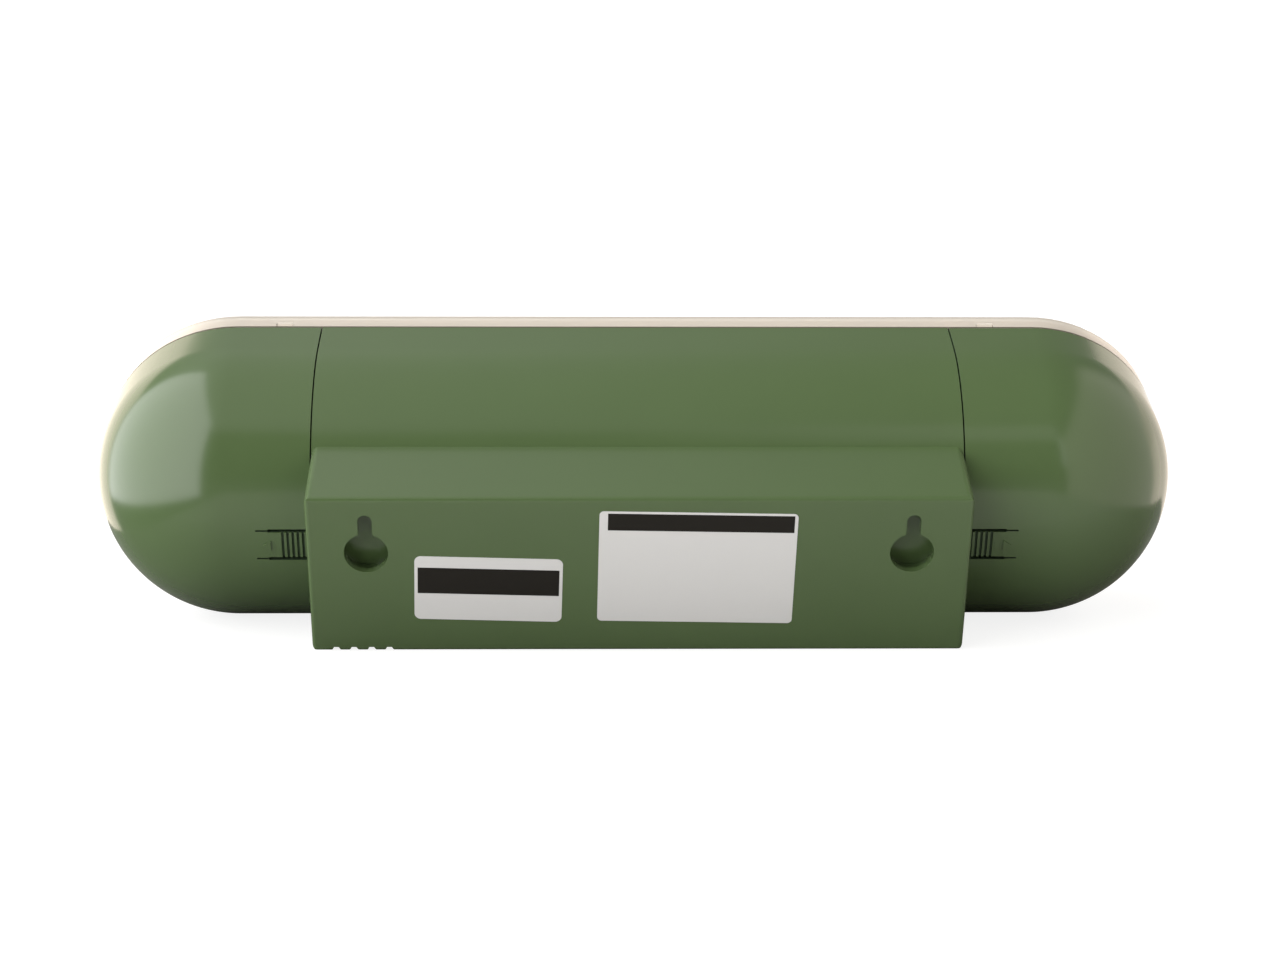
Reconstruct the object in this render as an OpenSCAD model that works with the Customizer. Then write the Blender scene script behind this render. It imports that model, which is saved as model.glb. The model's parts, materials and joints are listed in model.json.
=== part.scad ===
// Desk and wall clock with a round analogue dial and a flip calendar in a capsule-shaped case.
// The parts are drawn upright: X to the right seen from the front, Y to the back, Z up,
// with the axis of the round body at the origin. stand() then leans the whole clock back
// on its round belly and the lower edge of its rear box, as it rests on a desk.

/* [Case] */
// Width across the two round ends
body_w = 350; // [348:1:372]
// Diameter of the round body
body_d = 92; // [91:0.5:96]
// Straight part of the body in front of the round back
rim_depth = 14.5; // [13.5:0.5:17]
// Wall of the green shells
wall = 2.4; // [2:0.1:2.8]
// Middle of the clock to the seam of each end cover
seam_x = 101.8; // [101.4:0.1:104]
// Open width of each seam
seam_gap = 0.45; // [0.2:0.05:0.5]
// How far the case's inner lip reaches under the end covers
lip_reach = 3; // [2:0.5:4]
// Thickness of that inner lip
lip_t = 1.4; // [1:0.1:1.8]

/* [Rear box] */
// Body axis to the back face of the box
box_y = 64.4; // [63.5:0.1:70]
// Height of the box
box_h = 55; // [54:0.5:60]
// Side of the box inside the seam
box_inset = 0.3; // [0.3:0.1:1]
// Mould draft of the top and the bottom of the box, in degrees
box_draft = 3.8; // [1:0.1:5]
// Rounding of the long edges of the back face
box_edge_r = 1.5; // [1:0.1:2]
// Rounding of the box corners seen from behind
box_corner_r = 2.4; // [1.5:0.1:4]

/* [Keyhole hangers] */
// Middle of the clock to each keyhole
key_x = 83.4; // [80:0.1:86]
// Height of the head hole above the body axis
key_z = 8.2; // [7:0.1:9]
// Radius of the head hole
key_head_r = 6.75; // [5.5:0.05:7]
// Width of the hanging slot
key_slot_w = 4.4; // [4:0.1:5]
// Head hole centre to the end of the slot
key_reach = 13.3; // [12:0.1:14]
// Clear depth of the pocket behind the keyhole
pocket_depth = 4.2; // [3.5:0.1:5]
// Room round the screw head in the pocket
pocket_room = 1.3; // [1:0.1:1.6]
// Wall of the moulded pocket
pocket_wall = 1.4; // [1:0.1:1.8]

/* [Underside notches] */
// Number of notches
notch_n = 4; // [2:1:4]
// First notch from the middle of the clock
notch_x = 94; // [90:0.5:95]
// Pitch of the notches
notch_pitch = 5.5; // [4.5:0.1:5.6]
// Width at the mouth
notch_mouth = 3; // [2.5:0.1:3.4]
// Width at the top
notch_top = 1.5; // [1:0.1:2]
// Height of a notch
notch_h = 1.5; // [1:0.1:1.7]
// Length of a notch from the back face
notch_len = 12; // [8:1:16]

/* [End cover latch] */
// Half height of the snap tongue
tongue_half = 5; // [4:0.1:6]
// Length of the tongue from the seam
tongue_len = 17.3; // [15:0.1:19]
// Width of the slots beside the tongue
tongue_slot = 1.1; // [0.7:0.1:1.2]
// Length of the narrow end of each slot
tongue_slot_end = 3.8; // [3:0.1:5]
// Number of finger ribs
rib_n = 6; // [4:1:6]
// Pitch of the finger ribs
rib_pitch = 1.6; // [1.4:0.05:1.7]
// Depth of the grooves between the ribs
rib_groove = 0.7; // [0.3:0.05:0.7]
// Length of the arrow
arrow_len = 2.5; // [2:0.1:3]
// Half width of the arrow
arrow_half = 1.7; // [1.2:0.1:2.2]
// Height of the arrow above the surface
arrow_h = 0.45; // [0.2:0.05:0.5]
// Reach of the hook past the seam
hook_reach = 1.3; // [1:0.1:1.5]

/* [Lens and face] */
// Depth of the clear lens at its side
lens_depth = 9.4; // [8:0.1:11]
// Wall of the lens
lens_t = 2; // [1.6:0.1:2.4]
// Rounding of the front edge of the lens
lens_edge_r = 2.5; // [2.2:0.1:3]
// Thickness of the face frame's flange
flange_t = 0.8; // [0.6:0.1:1.2]
// Wall of the face frame
face_t = 1.6; // [1.2:0.1:1.8]
// Front of the face panel ahead of the shell's rim
panel_step = 2; // [1.6:0.1:3]
// How far the face frame's skirt goes into the shells
skirt_len = 4; // [3:0.5:5]
// Middle of the clock to each clip of the lens
clip_x = 114; // [112:0.5:118]
// Width of each clip
clip_w = 5; // [4:0.5:6]
// Depth of each clip along the wall
clip_d = 2.4; // [2:0.1:3]
// Rounding of the window corners
window_r = 3; // [1:0.5:4]
// Wall of the window shrouds
shroud_t = 1.2; // [1:0.1:1.4]

/* [Dial and hands] */
// Radius of the dial opening
dial_open_r = 36.5; // [34:0.5:37]
// Radius of the dial plate
dial_r = 38.5; // [37.5:0.5:39]
// Thickness of the dial plate
dial_t = 1; // [0.8:0.1:1.2]
// Gap from the face panel back to the dial
dial_drop = 2; // [1.6:0.1:2.4]
// Length of the hour hand
hour_len = 21; // [18:0.5:24]
// Length of the minute hand
minute_len = 31; // [28:0.5:33]
// Length of the second hand
second_len = 32.5; // [30:0.5:34]
// Thickness of the hands
hand_t = 0.5; // [0.4:0.05:0.6]
// Distance between two hands
hand_step = 1.3; // [1.2:0.05:1.4]
// Width and height of the quartz movement
movement_w = 56; // [54:0.5:56]
// Depth of the quartz movement
movement_d = 16; // [15.5:0.5:17]
// Radius of the clock cell
aa_r = 7.1; // [7:0.05:7.25]
// Length of the clock cell
aa_len = 50; // [49:0.5:50.5]

/* [Calendar] */
// Body axis back to the axis of the calendar spools
spool_y = 16; // [15.6:0.1:17]
// Radius of the pivots of the leaves
pivot_r = 11.4; // [11:0.1:12]
// Radius of the spool discs
disc_r = 12.6; // [12.4:0.1:13]
// Thickness of the spool discs
disc_t = 1.2; // [1:0.1:1.4]
// Height of one leaf
leaf_h = 20; // [18:0.5:20.5]
// Thickness of one leaf
leaf_t = 0.4; // [0.3:0.05:0.45]
// Width of the month leaves
month_w = 46; // [44:1:46]
// Width of the date leaves
date_w = 46; // [44:1:46]
// Width of the weekday leaves
day_w = 54; // [52:1:54]
// Number of month leaves
month_n = 24; // [24:1:24]
// Number of date leaves
date_n = 31; // [31:1:31]
// Number of weekday leaves
day_n = 28; // [28:1:28]
// Thickness of the chassis plates
plate_t = 2; // [1.6:0.1:2.2]
// Left face of the leftmost chassis plate
plate_x = -86; // [-87:0.5:-85.5]
// Radius of the calendar axle
axle_r = 1.5; // [1.3:0.1:1.8]
// Module of the gear teeth
gear_m = 0.8; // [0.78:0.01:0.82]
// Running clearance of shafts in their holes
run_fit = 0.06; // [0.04:0.01:0.09]

/* [Calendar cell] */
// Radius of the calendar cell
cell_r = 13; // [12.5:0.1:13.1]
// Length of the calendar cell
cell_len = 48.5; // [47:0.5:49]

/* [Hidden] */
$fn = 64;

// Calendar layout along X: plate A, month, plate B, date, plate C, weekday, plate D
leaf_play = 0.3;
side_gap = 1.2;
wheel_zone = 4.5;
gear_zone = 6.5;
function spool_w(w) = w + 2 * leaf_play + 2 * disc_t;
month_x = plate_x + plate_t + side_gap;
plate_b_x = month_x + spool_w(month_w) + wheel_zone;
date_x = plate_b_x + plate_t + side_gap;
plate_c_x = date_x + spool_w(date_w) + wheel_zone;
day_x = plate_c_x + plate_t + side_gap;
day_end_x = day_x + spool_w(day_w);
plate_d_x = day_end_x + gear_zone;
plate_end_x = plate_d_x + plate_t;

// Calendar cell in its tray, which keeps its distance from the tip of the round end
cell_y = 1.6;
nub_r = 3.6;
nub_h = 1.6;
tray_wall = 1.5;
spring_room = 4;
plate_contact_t = 0.4;
plate_contact_w = 12;
end_room = 14.9;
tray_x1 = body_w / 2 - end_room;
cell_x1 = tray_x1 - tray_wall - 0.3 - plate_contact_t;
cell_x0 = cell_x1 - cell_len;
tray_x0 = cell_x0 - spring_room - plate_contact_t - tray_wall;

// Slide switch of the calendar, on the back of the face panel
switch_travel = 4;
switch_x = tray_x0 + 18;
switch_z = -26;
switch_len = 22;
switch_h = 9;
switch_deep = 9;
slider_len = 4;
slider_h = 3;
slider_foot = 4.8;
slider_top = 3.2;

// Round body
body_r = body_d / 2;
end_x = body_w / 2 - body_r;
inner_r = body_r - wall;
rim_y = -rim_depth;
case_half = seam_x - seam_gap / 2;
cover_x = seam_x + seam_gap / 2;
fit = 0.3;
arrow_back = 4.4;
hook_t = 1.4;
boss_r = 3.4;
post_r = 2.6;
rim_gap = 0.1;
press = 0.02;
over = 1;

// Rear box
box_half_w = seam_x - box_inset;
box_half_h = box_h / 2;
box_in_y = box_y - wall;

// Lens and face frame, from the shells' rim forwards
lens_back_y = rim_y - flange_t;
lens_front_y = lens_back_y - lens_depth;
panel_front_y = rim_y - panel_step;
panel_back_y = panel_front_y + face_t;
frame_r = body_r - lens_t - fit;
dial_front_y = panel_back_y + dial_drop;
dial_back_y = dial_front_y + dial_t;

// Lean on the desk: the line under both the round belly and the rounded lower edge of the box
foot_y = box_y - box_edge_r;
foot_z = box_half_h - box_edge_r;
lean = asin((body_r - box_edge_r) / norm([foot_y, foot_z])) - atan2(foot_z, foot_y);
front_reach = -(lens_front_y + lens_edge_r) * cos(lean) + (body_r - lens_edge_r) * sin(lean) + lens_edge_r;
back_reach = foot_y * cos(lean) + foot_z * sin(lean) + box_edge_r;
stand_y = (front_reach - back_reach) / 2;

// Leaves: pivot circle round the spool axis, first pivots just above and below the middle
window_half_h = leaf_h + 2.4;
shroud_back_y = spool_y - disc_r - 1.6;
pin_r = 0.35;
pin_hole_r = pin_r + run_fit;
ear_reach = 0.2;
leaf_corner = 1;
hub_r = 4;

// Weekday gear train in the plane of the axes, all teeth of one module
day_teeth = 60;
thumb_teeth = 12;
small_teeth = 15;
big_teeth = 26;
motor_teeth = 10;
gear_t = 2;
gear_x = day_end_x + 0.6;
gear2_x = gear_x + gear_t + 0.6;
thumb_angle = 128;
thumb_dist = gear_m * (day_teeth + thumb_teeth) / 2;
thumb_pos = [spool_y + thumb_dist * cos(thumb_angle), thumb_dist * sin(thumb_angle)];
reduction_angle = -8;
reduction_dist = gear_m * (day_teeth + small_teeth) / 2;
reduction_pos = [spool_y + reduction_dist * cos(reduction_angle), reduction_dist * sin(reduction_angle)];
motor_angle = -56;
motor_dist = gear_m * (big_teeth + motor_teeth) / 2;
motor_pos = reduction_pos + motor_dist * [cos(motor_angle), sin(motor_angle)];
motor_r = 6.5;
motor_len = 25;
tab_len = 2.8;
tab_w = 2;
tab_t = 0.4;
tab_place = 4;
bracket_t = 1.5;
bracket_x = day_end_x - disc_t;
stub_r = 1.2;
motor_shaft_r = 1;
bracket_posts = [[54.3, 6.5], [41.5, -20.5]];
thumb_shaft_r = 1.8;
thumb_wheel_r = 7.5;
thumb_wheel_x = [case_half + lip_reach + 0.3, case_half + lip_reach + 4.3];

// Click levers beside the month and the date spool
star_r = 9.4;
star_t = 3.2;
lever_t = 1.5;
lever_pivot = [35, -4];
lever_nose = [21.4, -9.3];
lower_turn = -90.5;

// Chassis rails and their screws
rail_y0 = 3;
rail_y1 = 6;
rail_z0 = 33;
rail_z1 = 38.5;
rail_left_reach = 11;
rail_right_reach = 13;
rail_left_x = plate_x - rail_left_reach;
rail_right_x = plate_end_x + rail_right_reach;
case_screw_x = [-60, 62];
case_screw_z = 35.6;
case_screw_len = 14;
frame_screw_len = 12;
frame_screw_x = [rail_left_x + 4, rail_right_x - 4];
screw_r = 1.4;
screw_head_r = 2.6;
screw_head_t = 1.6;

// Circuit board in the rear box
board_x = [-62, 50];
board_half_h = 20;
board_t = 1.6;
board_back_y = box_in_y - 2.8;
board_front_y = board_back_y - board_t;
board_screws_x = [board_x[0] + 5, board_x[1] - 5];
board_screw_z = board_half_h - 4;
board_screw_r = 1.2;
board_chips = [[-12, -8, 16, 16], [8, 2, 10, 6]];
chip_t = 1.8;
can_r = 3;
can_h = 7;
plate_back_y = board_front_y - 1.6;

// Analogue movement behind the dial
dial_x = -end_x;
movement_y = dial_back_y;
bush_r = 4;
nut_r = 6;
nut_t = 1.4;
hour_y = dial_front_y - nut_t - 1 - hand_t;
minute_y = hour_y - hand_step;
second_y = minute_y - hand_step;
hour_tube_r = 2.9;
minute_tube_r = 2;
second_pin_r = 1;
hour_tube_end = movement_y + 5;
minute_tube_end = hour_tube_end + 3;
second_pin_end = minute_tube_end + 2;
aa_nub_r = 2.7;
aa_nub_h = 1.2;
aa_z = -movement_w / 2 + aa_r + 4;
aa_y = movement_y + movement_d - aa_r - 0.4;
knob_pos = [12, 12];
knob_r = 5.6;
knob_h = 3.6;
contact_t = 0.4;
contact_w = 10;
contact_room = 1.4;
contact_bow_r = 2.6;

// Conical spring of the calendar cell: turns of wire from the plate to the cell
spring_wire_r = 0.3;
spring_turns = 4;
spring_wide_r = 5;
spring_narrow_r = 2.2;
spring_rings = 14;
spring_sides = 8;
spring_sink = 0.1;

green = "#5f7a55";
cream = "#e8e0d4";
black = "#222222";
steel = "#b9bcc0";
brass = "#c9a35a";

// The whole clock as it stands on a desk
module stand() {
    translate([0, stand_y, body_r])
        rotate([-lean, 0, 0])
            children();
}

// A YZ outline drawn as (y, z), from x0 to x1
module along_x(x0, x1) {
    translate([x0, 0, 0])
        rotate([90, 0, 90])
            linear_extrude(x1 - x0)
                children();
}

// An XZ outline drawn as (x, z), from y0 to y1
module along_y(y0, y1) {
    translate([0, y1, 0])
        rotate([90, 0, 0])
            linear_extrude(y1 - y0)
                children();
}

// A round bar along X
module rod_x(r, x0, x1, y = 0, z = 0) {
    translate([x0, y, z])
        rotate([0, 90, 0])
            cylinder(r = r, h = x1 - x0);
}

// A round bar along Y
module rod_y(r, y0, y1, x = 0, z = 0) {
    translate([x, y1, z])
        rotate([90, 0, 0])
            cylinder(r = r, h = y1 - y0);
}

// Rectangle from a to b with round corners
module soft_rect(a, b, r) {
    translate([a.x + r, a.y])
        square([b.x - a.x - 2 * r, b.y - a.y]);
    translate([a.x, a.y + r])
        square([b.x - a.x, b.y - a.y - 2 * r]);
    for (x = [a.x + r, b.x - r], y = [a.y + r, b.y - r])
        translate([x, y])
            circle(r);
}

// A (radius, y) profile turned half round the right end of the body
module round_end() {
    translate([end_x, 0, 0])
        rotate([-90, 0, 0])
            rotate([0, 0, -90])
                rotate_extrude(angle = 180)
                    children();
}

// The same profile run straight from x0 to x1, above and below the axis
module straight_run(x0, x1) {
    for (m = [0, 1])
        mirror([0, 0, m])
            translate([x1, 0, 0])
                rotate([0, -90, 0])
                    linear_extrude(x1 - x0)
                        children();
}

// The profile all round the capsule
module capsule_ring() {
    for (m = [0, 1])
        mirror([m, 0, 0]) {
            round_end() children();
            straight_run(0, end_x) children();
        }
}

// Quarter section of the body as (radius, y): round back, straight rim of depth f
module quarter(r, f) {
    translate([0, -f])
        square([r, f]);
    intersection() {
        circle(r);
        square(r);
    }
}

module cover_section() {
    difference() {
        quarter(body_r, rim_depth - rim_gap);
        quarter(inner_r, rim_depth + over);
    }
}

// Keyhole outline round the centre of its head hole, with the slot upwards
module keyhole(head_r, slot_half) {
    circle(head_r);
    translate([-slot_half, 0])
        square([2 * slot_half, key_reach - slot_half]);
    translate([0, key_reach - slot_half])
        circle(slot_half);
}

// Children tilted by the draft round the rounded top edge of a box of half height half_h
module on_draft(half_h, y, edge) {
    translate([0, y - edge, half_h - edge])
        rotate([-box_draft, 0, 0])
            translate([0, edge - y, edge - half_h])
                children();
}

// Side view of the box as (y, z): it grows forwards by the draft
module box_profile(half_h, y, edge) {
    c = [y - edge, half_h - edge];
    t = c + edge * [sin(box_draft), cos(box_draft)];
    front = t.y + t.x * tan(box_draft);
    polygon([[0, -front], [t.x, -t.y], [y, -c.y], [y, c.y], [t.x, t.y], [0, front]]);
    for (s = [-1, 1])
        translate([c.x, s * c.y])
            circle(edge);
}

module box_block(half_w, half_h, y, edge, corner) {
    rise = y * tan(box_draft);
    intersection() {
        along_x(-half_w, half_w)
            box_profile(half_h, y, edge);
        on_draft(half_h, y, edge)
            along_y(-2 * over, y + rise)
                soft_rect([-half_w, -half_h - 2 * rise], [half_w, half_h], corner);
        mirror([0, 0, 1])
            on_draft(half_h, y, edge)
                along_y(-2 * over, y + rise)
                    soft_rect([-half_w, -half_h - 2 * rise], [half_w, half_h], corner);
        translate([0, 0, -half_h - rise])
            linear_extrude(2 * (half_h + rise))
                soft_rect([-half_w, 0], [half_w, y], edge);
    }
}

module pocket_outline(g) {
    stretch = key_reach - key_slot_w / 2;
    circle(key_head_r + pocket_room + g);
    translate([0, stretch])
        circle(key_head_r + g);
    translate([-key_head_r - g, 0])
        square([2 * (key_head_r + g), stretch]);
}

// One keyhole's place: children are drawn round the head hole as (x, z)
module at_keys(y0, y1) {
    for (s = [-1, 1])
        translate([s * key_x, 0, key_z])
            along_y(y0, y1)
                children();
}

module latch_recess() {
    for (s = [-1, 1])
        translate([s * box_half_w, 0, 0])
            translate([-hook_reach - 0.3, inner_r - fit + 0.05, -tongue_half])
                cube([2 * (hook_reach + 0.3), wall - 0.5, 2 * tongue_half]);
}

// Screw bosses that rise from the shell to the chassis rails
module case_bosses() {
    intersection() {
        union() {
            for (x = case_screw_x, s = [-1, 1])
                rod_y(boss_r, rail_y1, body_r, x, s * case_screw_z);
        }
        along_x(-case_half, case_half)
            circle(inner_r + wall / 2);
    }
}

module notches() {
    mirror([0, 0, 1])
        on_draft(box_half_h, box_y, box_edge_r)
            for (i = [0 : notch_n - 1])
                translate([notch_x - i * notch_pitch, 0, box_half_h])
                    along_y(box_y - notch_len, box_y + over)
                        polygon([
                            [-notch_mouth / 2 - 0.1, 0.2],
                            [notch_mouth / 2 + 0.1, 0.2],
                            [notch_top / 2, -notch_h],
                            [-notch_top / 2, -notch_h]
                        ]);
}

// Thin lips that carry the inner edge of both end covers
module lip_section(r_out, r_in) {
    front = rim_depth - skirt_len - 0.5;
    difference() {
        quarter(r_out, front);
        quarter(r_in, front + over);
    }
}

module case_lips() {
    for (m = [0, 1])
        mirror([m, 0, 0]) {
            straight_run(case_half - 2.4, case_half + lip_reach)
                lip_section(inner_r - fit, inner_r - fit - lip_t);
            straight_run(case_half - 2.4, case_half - 0.9)
                lip_section(inner_r + 0.6, inner_r - fit - 0.2);
        }
}

module board_posts() {
    for (x = board_screws_x, z = [-1, 1])
        rod_y(post_r, board_back_y, box_in_y + wall / 2, x, z * board_screw_z);
}

// Middle shell with the rear box in one moulding
module rear_case() {
    color(green)
        difference() {
            union() {
                difference() {
                    union() {
                        straight_run(-case_half, case_half) quarter(body_r, rim_depth);
                        box_block(box_half_w, box_half_h, box_y, box_edge_r, box_corner_r);
                    }
                    straight_run(-case_half - over, case_half + over) quarter(inner_r, rim_depth + over);
                    box_block(box_half_w - wall, box_half_h - wall, box_in_y, 0.5, 0.5);
                }
                case_bosses();
                board_posts();
                case_lips();
                at_keys(box_in_y - pocket_depth - pocket_wall, box_in_y + wall / 2)
                    pocket_outline(pocket_wall);
            }
            at_keys(box_in_y - pocket_depth, box_in_y)
                pocket_outline(0);
            at_keys(box_in_y - over, box_y + over)
                keyhole(key_head_r, key_slot_w / 2);
            notches();
            latch_recess();
            for (x = case_screw_x, s = [-1, 1])
                rod_y(screw_r + 0.05, rail_y1 - over, rail_y0 + case_screw_len + 1, x, s * case_screw_z);
            for (x = board_screws_x, z = [-1, 1])
                rod_y(board_screw_r + 0.05, board_back_y - over, box_in_y - 0.2, x, z * board_screw_z);
        }
}

// Right-hand end cover: a shell that slides off outwards, with a snap tongue at the back
module end_cover() {
    slot_x = seam_x + tongue_len;
    difference() {
        union() {
            round_end() cover_section();
            straight_run(cover_x, end_x) cover_section();
            // hook at the tip of the tongue
            translate([box_half_w - hook_reach, inner_r, tongue_slot + 0.2 - tongue_half])
                cube([hook_reach + 3, hook_t, 2 * (tongue_half - tongue_slot - 0.2)]);
            // arrow that points outwards
            intersection() {
                translate([slot_x - arrow_back, 0, 0])
                    along_y(body_r - wall, body_r + over)
                        polygon([[0, -arrow_half], [arrow_len, 0], [0, arrow_half]]);
                straight_run(cover_x, end_x)
                    difference() {
                        quarter(body_r + arrow_h, 0.01);
                        quarter(body_r - wall / 2, over);
                    }
            }
        }
        for (s = [-1, 1]) {
            translate([cover_x - over, inner_r - 3, s * tongue_half - tongue_slot / 2])
                cube([tongue_len - tongue_slot_end + over, wall + 6, tongue_slot]);
            translate([cover_x - over, inner_r - 3, s * tongue_half - tongue_slot / 4])
                cube([tongue_len + over, wall + 6, tongue_slot / 2]);
        }
        for (i = [0 : rib_n - 1])
            intersection() {
                translate([cover_x + 0.5 + i * rib_pitch, 0, tongue_slot / 2 - tongue_half])
                    cube([rib_pitch / 2, body_r + over, 2 * tongue_half - tongue_slot]);
                straight_run(cover_x, end_x)
                    difference() {
                        quarter(body_r + over, over);
                        quarter(body_r - rib_groove, 2 * over);
                    }
            }
    }
}

module end_cover_right() {
    color(green) end_cover();
}

module end_cover_left() {
    color(green)
        mirror([1, 0, 0])
            end_cover();
}

// Section of the lens cup as (radius, y), the front edge rounded by e
module cup_section(r, y0, y1, e) {
    translate([0, y0])
        square([r - e, y1 - y0]);
    translate([0, y0 + e])
        square([r, y1 - y0 - e]);
    translate([r - e, y0 + e])
        circle(e);
}

// Places of the clips along the top and bottom walls
module at_clips() {
    for (x = [-clip_x, clip_x], m = [0, 1])
        translate([x, 0, 0])
            mirror([0, 0, m])
                children();
}

module front_lens() {
    color("white", 0.4)
        difference() {
            capsule_ring()
                difference() {
                    cup_section(body_r, lens_front_y, lens_back_y, lens_edge_r);
                    cup_section(
                        body_r - lens_t, lens_front_y + lens_t, lens_back_y + over, lens_edge_r - lens_t
                    );
                }
            at_clips()
                translate([-clip_w / 2 - 0.2, lens_back_y - clip_d - 0.2, body_r - lens_t - over])
                    cube([clip_w + 0.4, clip_d + 0.2 + over, lens_t + 2 * over]);
        }
}

// Calendar windows as [left, right]
function window_x(x0, w) = [x0 + disc_t + leaf_play - 0.6, x0 + disc_t + leaf_play + w + 0.6];
WINDOWS = [window_x(month_x, month_w), window_x(date_x, date_w), window_x(day_x, day_w)];

module window_outline(win, g) {
    soft_rect([win[0] - g, -window_half_h - g], [win[1] + g, window_half_h + g], window_r);
}

// Screw places of the dial, round its rim
module at_dial_screws() {
    for (a = [40, 140, 220, 320])
        translate([dial_x + (dial_r + 0.9) * cos(a), 0, (dial_r + 0.9) * sin(a)])
            children();
}

module at_frame_screws() {
    for (x = frame_screw_x, s = [-1, 1])
        translate([x, 0, s * case_screw_z])
            children();
}

module face_frame() {
    skirt_r = inner_r - fit;
    color(cream)
        difference() {
            union() {
                capsule_ring() {
                    translate([skirt_r - face_t, lens_back_y])
                        square([body_r - skirt_r + face_t, flange_t]);
                }
                capsule_ring() {
                    translate([skirt_r - face_t, rim_y])
                        square([face_t, skirt_len]);
                }
                capsule_ring() {
                    translate([frame_r - face_t, lens_front_y + lens_t + 0.4])
                        square([face_t, lens_back_y - lens_front_y - lens_t - 0.4]);
                }
                capsule_ring() {
                    translate([0, panel_front_y])
                        square([frame_r - face_t / 2, face_t]);
                }
                at_clips()
                    translate([-clip_w / 2, lens_back_y - clip_d, frame_r - 0.5])
                        cube([clip_w, clip_d, lens_t + fit + 0.2]);
                rod_y(dial_open_r + 1.4, panel_back_y - 0.2, dial_front_y, dial_x, 0);
                at_dial_screws()
                    rod_y(1.9, panel_back_y - 0.2, dial_front_y);
                at_frame_screws()
                    rod_y(3, panel_back_y - 0.2, rail_y0);
                for (win = WINDOWS)
                    along_y(panel_back_y - 0.2, shroud_back_y)
                        window_outline(win, shroud_t);
            }
            rod_y(dial_open_r, panel_front_y - over, dial_front_y + over, dial_x, 0);
            for (win = WINDOWS)
                along_y(panel_front_y - over, shroud_back_y + over)
                    window_outline(win, 0);
            at_dial_screws()
                rod_y(0.8, panel_back_y + 0.2, dial_front_y + over);
            at_frame_screws()
                rod_y(screw_r + 0.05, rail_y0 - 10, rail_y0 + over);
        }
}

module dial() {
    color("#f3efe6")
        difference() {
            union() {
                rod_y(dial_r, dial_front_y, dial_back_y, dial_x, 0);
                at_dial_screws()
                    rod_y(1.9, dial_front_y, dial_back_y);
            }
            rod_y(bush_r + 0.1, dial_front_y - over, dial_back_y + over, dial_x, 0);
            at_dial_screws()
                rod_y(0.95, dial_front_y - over, dial_back_y + over);
        }
}

module dial_screws() {
    color(steel)
        at_dial_screws() {
            rod_y(1.7, dial_back_y, dial_back_y + 0.9);
            rod_y(0.75, panel_back_y + 0.4, dial_back_y);
        }
}

// Time shown: hours, minutes and seconds
shown = [10, 9.6, 36];
minute_turn = shown[1] * 6;
hour_turn = shown[0] * 30 + shown[1] / 2;
second_turn = shown[2] * 6;

// A hand pointing up, turned clockwise seen from the front
module hand(turn, y, len, half, tip, tail, hub) {
    translate([dial_x, 0, 0])
        rotate([0, turn, 0])
            along_y(y, y + hand_t) {
                circle(hub);
                polygon([
                    [-half * 0.7, -tail],
                    [half * 0.7, -tail],
                    [half, 0],
                    [tip, len],
                    [-tip, len],
                    [-half, 0]
                ]);
            }
}

module hour_hand() {
    color(black)
        difference() {
            union() {
                hand(hour_turn, hour_y, hour_len, 2.1, 1.3, 5, hour_tube_r + 1.2);
                rod_y(hour_tube_r, hour_y, hour_tube_end, dial_x, 0);
            }
            rod_y(minute_tube_r + run_fit, hour_y - over, hour_tube_end + over, dial_x, 0);
        }
}

module minute_hand() {
    color(black)
        difference() {
            union() {
                hand(minute_turn, minute_y, minute_len, 1.6, 0.9, 6, minute_tube_r + 1.2);
                rod_y(minute_tube_r, minute_y, minute_tube_end, dial_x, 0);
            }
            rod_y(second_pin_r + run_fit, minute_y - over, minute_tube_end + over, dial_x, 0);
        }
}

module second_hand() {
    color("#c33b2a") {
        hand(second_turn, second_y, second_len, 0.6, 0.35, 9, second_pin_r + 1);
        rod_y(second_pin_r, second_y, second_pin_end, dial_x, 0);
    }
}

module movement_case() {
    half = movement_w / 2;
    cell_half = aa_len / 2 + contact_room + contact_t;
    color(black)
        translate([dial_x, 0, 0])
            difference() {
                union() {
                    along_y(movement_y, movement_y + movement_d)
                        soft_rect([-half, -half], [half, half], 3);
                    rod_y(bush_r, dial_front_y - nut_t - 0.7, movement_y + over);
                }
                rod_y(hour_tube_r + run_fit, dial_front_y - nut_t - 2, second_pin_end + 0.4);
                rod_x(aa_r + 0.25, -cell_half, cell_half, aa_y, aa_z);
                translate([-cell_half, aa_y, aa_z - aa_r - 0.25])
                    cube([2 * cell_half, aa_r + 2, 2 * aa_r + 0.5]);
                translate([knob_pos.x, 0, knob_pos.y]) {
                    rod_y(stub_r + run_fit, movement_y + 6, movement_y + movement_d + over);
                    rod_y(knob_r + 0.8, movement_y + movement_d - 1.2, movement_y + movement_d + over);
                }
            }
}

module movement_nut() {
    color(brass)
        difference() {
            translate([dial_x, dial_front_y, 0])
                rotate([90, 0, 0])
                    cylinder(r = nut_r, h = nut_t, $fn = 6);
            rod_y(bush_r + 0.04, dial_front_y - nut_t - over, dial_front_y + over, dial_x, 0);
        }
}

module set_knob() {
    back = movement_y + movement_d;
    color("#5a5a5a")
        translate([dial_x + knob_pos.x, 0, knob_pos.y])
            difference() {
                union() {
                    rod_y(knob_r, back - 0.9, back + knob_h);
                    rod_y(stub_r, movement_y + 6.3, back - 0.5);
                }
                for (a = [0 : 20 : 359])
                    rotate([0, a, 0])
                        rod_y(0.5, back - 0.2, back + knob_h + over, knob_r + 0.2, 0);
            }
}

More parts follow.
